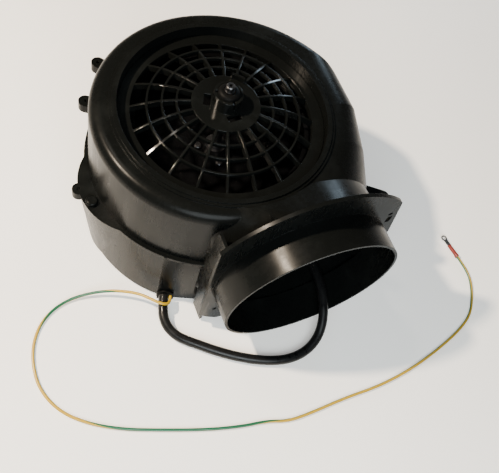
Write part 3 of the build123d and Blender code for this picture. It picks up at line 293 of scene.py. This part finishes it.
def make_finishes():
    """One finish for each material slot of the record."""
    black = (0.0032, 0.0036, 0.0034)
    return {
        "casing_plastic": moulded_plastic("casing_plastic", black, 0.27),
        "grille_plastic": moulded_plastic("grille_plastic", black, 0.15, 0.0008, gloss=0.2),
        "wheel_plastic": moulded_plastic("wheel_plastic", (0.002, 0.0021, 0.0024), 0.25, 0.0002, 0.0),
        "black_rubber": soft_rubber("black_rubber", (0.0025, 0.0025, 0.0025), 0.5, 0.05),
        "cable_sheath": soft_rubber("cable_sheath", (0.006, 0.006, 0.0062), 0.3),
        "ground_steel": bare_metal("ground_steel", (0.55, 0.54, 0.52), 0.28, (1, 1, 8)),
        "dark_steel": bare_metal("dark_steel", (0.1, 0.1, 0.105), 0.36),
        "zinc_screws": bare_metal("zinc_screws", (0.6, 0.58, 0.52), 0.3),
        "core_steel": stacked_sheets("core_steel"),
        "cast_aluminium": bare_metal("cast_aluminium", (0.62, 0.62, 0.63), 0.42, grain=0.00004),
        "copper_winding": wound_copper("copper_winding"),
        "sintered_bronze": bare_metal("sintered_bronze", (0.5, 0.36, 0.2), 0.45, grain=0.00003),
        "earth_insulation": earth_insulation("earth_insulation"),
        "sleeve_plastic": soft_rubber("sleeve_plastic", (0.16, 0.012, 0.008), 0.35, 0.5),
        "tinned_copper": bare_metal("tinned_copper", (0.75, 0.74, 0.72), 0.25),
        "plug_nylon": soft_rubber("plug_nylon", (0.6, 0.58, 0.52), 0.45),
    }


def set_camera():
    """Camera at the photograph's place, turn and lens."""
    azimuth, elevation, roll = (math.radians(v) for v in (CAMERA_AZIMUTH, CAMERA_ELEVATION, CAMERA_ROLL))
    back = Vector((math.sin(azimuth), -math.cos(azimuth), math.tan(elevation))).normalized()
    level = Vector((0, 0, 1)).cross(back).normalized()
    upright = back.cross(level)
    right = level * math.cos(roll) + upright * math.sin(roll)
    up = upright * math.cos(roll) - level * math.sin(roll)
    data = bpy.data.cameras.new("camera")
    data.sensor_width = SENSOR
    data.lens = FOCAL_PIXELS / PICTURE_WIDTH * SENSOR
    camera = bpy.data.objects.new("camera", data)
    camera.matrix_world = Matrix.Translation(CAMERA_PLACE) @ Matrix((right, up, back)).transposed().to_4x4()
    bpy.context.scene.collection.objects.link(camera)
    bpy.context.scene.camera = camera


def cord_curve(name, route, diameter, finish, node):
    """Round cord on one smooth line whose control points are the route's points."""
    curve = bpy.data.curves.new(name, "CURVE")
    curve.dimensions = "3D"
    curve.bevel_depth = diameter / 2 * MM
    curve.bevel_resolution = 8
    curve.resolution_u = 12
    curve.use_fill_caps = True
    spline = curve.splines.new("NURBS")
    spline.points.add(len(route) - 1)
    for point, place in zip(spline.points, route):
        point.co = (*(Vector(place) * MM), 1.0)
    spline.order_u = 3
    spline.use_endpoint_u = True
    curve.materials.append(finish.material)
    piece = bpy.data.objects.new(name, curve)
    bpy.context.scene.collection.objects.link(piece)
    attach(piece, CASING)
    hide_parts(node)
    return piece


def lay_cords(finishes):
    """The sheathed motor cable and the earth wire."""
    sheath = finishes["cable_sheath"]
    cable = cord_curve("cable_sheath_run", CABLE_ROUTE, CABLE_DIAMETER, sheath, "motor_cable")
    striped = finishes["earth_insulation"]
    earth = cord_curve("earth_wire_run", EARTH_ROUTE, EARTH_DIAMETER, striped, "earth_wire")


def dress_nodes(finishes):
    """Gives each CAD node the finish of its material slot."""
    slots = {row["node"]: row["material_slot"] for row in frame["record"]["subparts"]}
    for name, node in frame["nodes"].items():
        node.data.materials.clear()
        node.data.materials.append(finishes[slots[name]].material)


def set_stage():
    """Pale floor, pale surroundings and four soft lamps."""
    mesh = bpy.data.meshes.new("floor")
    half = FLOOR_SIZE / 2
    corners = [(-half, -half, 0), (half, -half, 0), (half, half, 0), (-half, half, 0)]
    mesh.from_pydata(corners, [], [(0, 1, 2, 3)])
    floor = bpy.data.objects.new("floor", mesh)
    bpy.context.scene.collection.objects.link(floor)
    floor.location.z = -FLOOR_DROP
    finish = Finish("floor", Roughness=0.55, Emission_Strength=FLOOR_GLOW)
    finish.set(Base_Color=FLOOR_COLOUR, Emission_Color=(1.0, 0.98, 0.95, 1.0))
    mesh.materials.append(finish.material)
    set_surroundings()
    for lamp_values in LAMPS:
        lamp(*lamp_values)


def set_surroundings():
    """Room that is pale near the horizon and dim overhead."""
    world = bpy.data.worlds.new("surroundings")
    world.use_nodes = True
    nodes = world.node_tree.nodes
    links = world.node_tree.links
    height = nodes.new("ShaderNodeSeparateXYZ")
    links.new(nodes.new("ShaderNodeTexCoord").outputs["Generated"], height.inputs[0])
    ramp = nodes.new("ShaderNodeValToRGB")
    stops = [(place, shade(SURROUNDING_TINT, tone)) for place, tone in SURROUNDING_TONES]
    set_stops(ramp.color_ramp, stops)
    links.new(height.outputs["Z"], ramp.inputs["Fac"])
    links.new(ramp.outputs["Color"], nodes["Background"].inputs["Color"])
    bpy.context.scene.world = world


def lamp(name, place, target, size, power, colour):
    """Round soft lamp that faces a point."""
    data = bpy.data.lights.new(name, "AREA")
    data.shape = "DISK"
    data.size = size
    data.energy = power
    data.color = colour
    piece = bpy.data.objects.new(name, data)
    piece.location = place
    piece.rotation_mode = "QUATERNION"
    piece.rotation_quaternion = (Vector(place) - Vector(target)).to_track_quat("Z", "Y")
    bpy.context.scene.collection.objects.link(piece)


set_camera()
FINISHES = make_finishes()
lay_cords(FINISHES)
dress_nodes(FINISHES)
set_stage()
